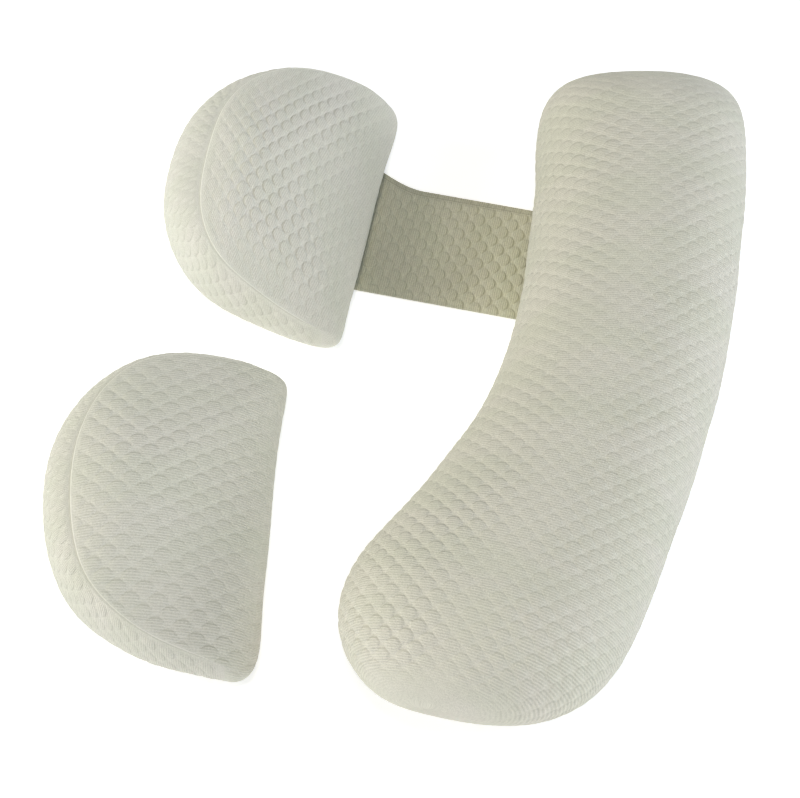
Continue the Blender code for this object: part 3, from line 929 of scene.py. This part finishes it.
def rib_nodes(g, place, u, v, lean, strength):
    """The ribs as waves from -1 to 1, aslant by lean. Where the cloth is drawn flat they fade."""
    uneven = g.node("ShaderNodeTexNoise", Vector=place, Scale=1.2, Detail=1.0).outputs[0]
    rib_place = g.math("ADD", v, g.math("MULTIPLY", uneven, 0.12))
    rib_place = g.math("ADD", rib_place, g.math("MULTIPLY", u, lean))
    rib = g.math("SINE", g.math("MULTIPLY", rib_place, 2 * math.pi * RIBS_A_ROW))
    return g.math("MULTIPLY", rib, g.math("MINIMUM", g.math("MULTIPLY", strength, 1.8), 1.0))


def tone_nodes(g, fleck, bubble, crease, rib, strength):
    """How light the yarn is, from 0 to 1: with painted shade on the bubbles' ribs and in a crease, and marked
    by the seam's thread and its painted shade."""
    from_seam = g.node("ShaderNodeAttribute", {"attribute_name": "from_seam"}).outputs["Fac"]
    # the net lighter than the bubbles: partly a finer stitch, partly painted shade of the bubbles' ribs
    lighter = g.math("MULTIPLY", g.math("SUBTRACT", 0.5, bubble), NET_LIGHTER_PARTLY_PAINTED_SHADE)
    tone = g.math("ADD", fleck, g.math("MULTIPLY", lighter, g.math("ADD", strength, 0.3)))
    # painted shade along the ribs: lighter on their crests, darker in their grooves
    ridge = g.math("MULTIPLY", rib, g.math("ADD", g.math("MULTIPLY", bubble, 0.08), 0.05))
    tone = g.math("ADD", tone, ridge)
    # painted shade in the crease behind each bubble
    tone = g.math("SUBTRACT", tone, g.math("MULTIPLY", crease, CREASE_PAINTED_SHADE))
    seam_thread = g.bell(from_seam, *SEAM_THREAD)
    seam_shade = g.bell(from_seam, *SEAM_SHADE)
    tone = g.math("ADD", tone, g.math("MULTIPLY", seam_thread, SEAM_THREAD_LIGHTER))
    return g.math("SUBTRACT", tone, g.math("MULTIPLY", seam_shade, SEAM_SHADE_DARKER))


def bubble_nodes(g, u, v):
    """The same round bubbles as in the mesh, as a height from 0 to 1, and the tight crease behind each, on
    the side where v grows, from 0 to 1."""
    half = g.math("MULTIPLY", v, 0.5)
    offsets = []
    for operation in ("ADD", "SUBTRACT"):
        diagonal = g.math(operation, u, half)
        offsets.append(g.math("SUBTRACT", diagonal, g.math("ROUND", diagonal)))
    along = g.math("DIVIDE", g.math("ADD", *offsets), 2 * BUBBLE_ALONG)
    across = g.math("DIVIDE", g.math("SUBTRACT", *offsets), BUBBLE_ACROSS)
    square = g.math("ADD", g.math("MULTIPLY", along, along), g.math("MULTIPLY", across, across))
    radius = g.math("SQRT", square)
    crease = g.math("MULTIPLY", g.bell(radius, 0.98, 0.24), g.smooth_range(across, 0.10, 0.80))
    return g.smooth_range(radius, 1.18, 0.72), crease


def knit(name, light, dark, lean=0.0, painted_shade=0.0):
    """A matt melange knit: fine ribs and stitches from its place in the cloth, and flecks of yarn. The
    bubbles are ribbed, and the net of finer stitches between them is a little lighter, partly as painted
    shade of the bubbles' ribs, which are also painted lighter on their crests and darker in their grooves.
    lean draws the ribs aslant, and the last argument paints shade: it darkens the cloth where its bubbles'
    strength is low."""
    g = Graph(name, KNIT_SHADER)
    place = g.node("ShaderNodeUVMap", {"uv_map": "cloth"}).outputs[0]
    strength = g.node("ShaderNodeAttribute", {"attribute_name": "strength"}).outputs["Fac"]
    split = g.node("ShaderNodeSeparateXYZ", i0=place)
    u, v = split.outputs[0], split.outputs[1]
    bubble, crease = bubble_nodes(g, u, v)
    crease = g.math("MULTIPLY", crease, strength)
    rib = rib_nodes(g, place, u, v, lean, strength)
    stitch = g.math("SINE", g.math("MULTIPLY", u, 2 * math.pi * RIBS_A_ROW * STITCHES_A_RIB))
    yarn = g.node("ShaderNodeMapping", Vector=place, Scale=YARN_SCALE).outputs[0]
    fleck = g.node("ShaderNodeTexNoise", Vector=yarn, Scale=1.0, Detail=2.5, Roughness=0.7).outputs[0]
    patch = g.node("ShaderNodeTexNoise", Vector=place, Scale=0.22, Detail=2.0).outputs[0]
    colour = g.ramp(tone_nodes(g, fleck, bubble, crease, rib, strength), 0.22, 0.78, dark, light)
    colour = g.multiplied(colour, g.ramp(patch, 0.40, 0.60, (1.0, 1.0, 1.0, 1.0), PATCH_COLOUR))
    # Painted shade: darker where bubble strength is low; on the strap, near the belly wedge and its edges
    painted_shade_factor = g.math("SUBTRACT", 1.0, g.math("MULTIPLY", g.math("SUBTRACT", 1.6, strength), painted_shade))
    colour = g.multiplied(colour, g.math("MINIMUM", painted_shade_factor, 1.0))
    g.tree.links.new(colour, g.shader.inputs["Base Color"])
    height = g.math("MULTIPLY", g.math("MULTIPLY", bubble, strength), BUBBLE_BUMP)
    height = g.math("SUBTRACT", height, g.math("MULTIPLY", crease, CREASE_DEPTH))
    for wave, relief in ((rib, RIB_RELIEF), (stitch, STITCH_RELIEF), (fleck, FLECK_RELIEF)):
        height = g.math("ADD", height, g.math("MULTIPLY", wave, relief))
    bump = g.node("ShaderNodeBump", Height=height, Strength=1.0, Distance=1.0)
    g.tree.links.new(bump.outputs[0], g.shader.inputs["Normal"])
    return g.material


def make_floor():
    """A white studio floor, bright enough to leave hardly any shadow."""
    mesh = bpy.data.meshes.new("studio_floor")
    corners = [(x * FLOOR_REACH, y * FLOOR_REACH, FLOOR_Z) for x, y in ((-1, -1), (1, -1), (1, 1), (-1, 1))]
    mesh.from_pydata(corners, [], [(0, 1, 2, 3)])
    floor = add_object("studio_floor", mesh)
    mesh.materials.append(Graph("studio white", FLOOR_SHADER).material)
    return floor


def make_light():
    """Soft lamps in a ring round the set, most of them low, as a little daylight comes in from the
    sides."""
    world = bpy.data.worlds.new("studio")
    bpy.context.scene.world = world
    world.use_nodes = True
    back = world.node_tree.nodes["Background"]
    back.inputs[0].default_value = WORLD_COLOUR
    back.inputs[1].default_value = WORLD_STRENGTH
    for name, azimuth, elevation, power, *colour in LAMPS:
        data = bpy.data.lights.new(name, "AREA")
        data.shape = "DISK"
        data.size = LAMP_SIZE
        data.energy = power
        data.color = colour
        lamp = bpy.data.objects.new(name, data)
        turn, tilt = math.radians(azimuth), math.radians(elevation)
        flat = LAMP_DISTANCE * math.cos(tilt)
        lamp.location = (math.sin(turn) * flat, -math.cos(turn) * flat, LAMP_DISTANCE * math.sin(tilt))
        lamp.rotation_euler = (-lamp.location).to_track_quat("-Z", "Y").to_euler()
        bpy.context.scene.collection.objects.link(lamp)
    bpy.context.scene.view_settings.view_transform = "Standard"


def make_camera():
    """Looks down along +Y at the photograph's angle."""
    data = bpy.data.cameras.new("camera")
    data.sensor_width = CAMERA_SENSOR
    data.lens = CAMERA_LENS
    data.clip_start = 0.05
    data.clip_end = 30.0
    camera = bpy.data.objects.new("camera", data)
    bpy.context.scene.collection.objects.link(camera)
    away = Vector((0.0, -math.cos(CAMERA_TILT), math.sin(CAMERA_TILT)))
    camera.location = Vector(CAMERA_TARGET) + away * CAMERA_DISTANCE
    camera.rotation_euler = (math.pi / 2 - CAMERA_TILT, 0.0, 0.0)
    bpy.context.scene.camera = camera


# the belly wedge's knit is lighter as painted light; the strap's is darker, partly as painted shade
bolster_knit = knit("bolster knit", srgb(236, 232, 218), srgb(198, 195, 180))
belly_knit_painted_light = knit("belly wedge knit", srgb(246, 244, 235), srgb(211, 209, 197), lean=-0.75)
loose_knit = knit("loose wedge knit", srgb(240, 237, 226), srgb(203, 201, 187))
band = knit("strap knit", srgb(233, 231, 210), srgb(190, 188, 166), painted_shade=0.30)

floor = make_floor()
bolster = make_bolster(bolster_knit)
belly = make_wedge(BELLY_WEDGE, belly_knit_painted_light)
loose = make_wedge(LOOSE_WEDGE, loose_knit)
strap, strap_cut_width, strap_cut_length, strap_cut_area = make_strap(band)

pieces = {"back_bolster": bolster, "belly_wedge": belly, "loose_wedge": loose, "strap": strap}
for node, piece in pieces.items():
    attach(piece, "root")
    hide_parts(node)

make_light()
make_camera()
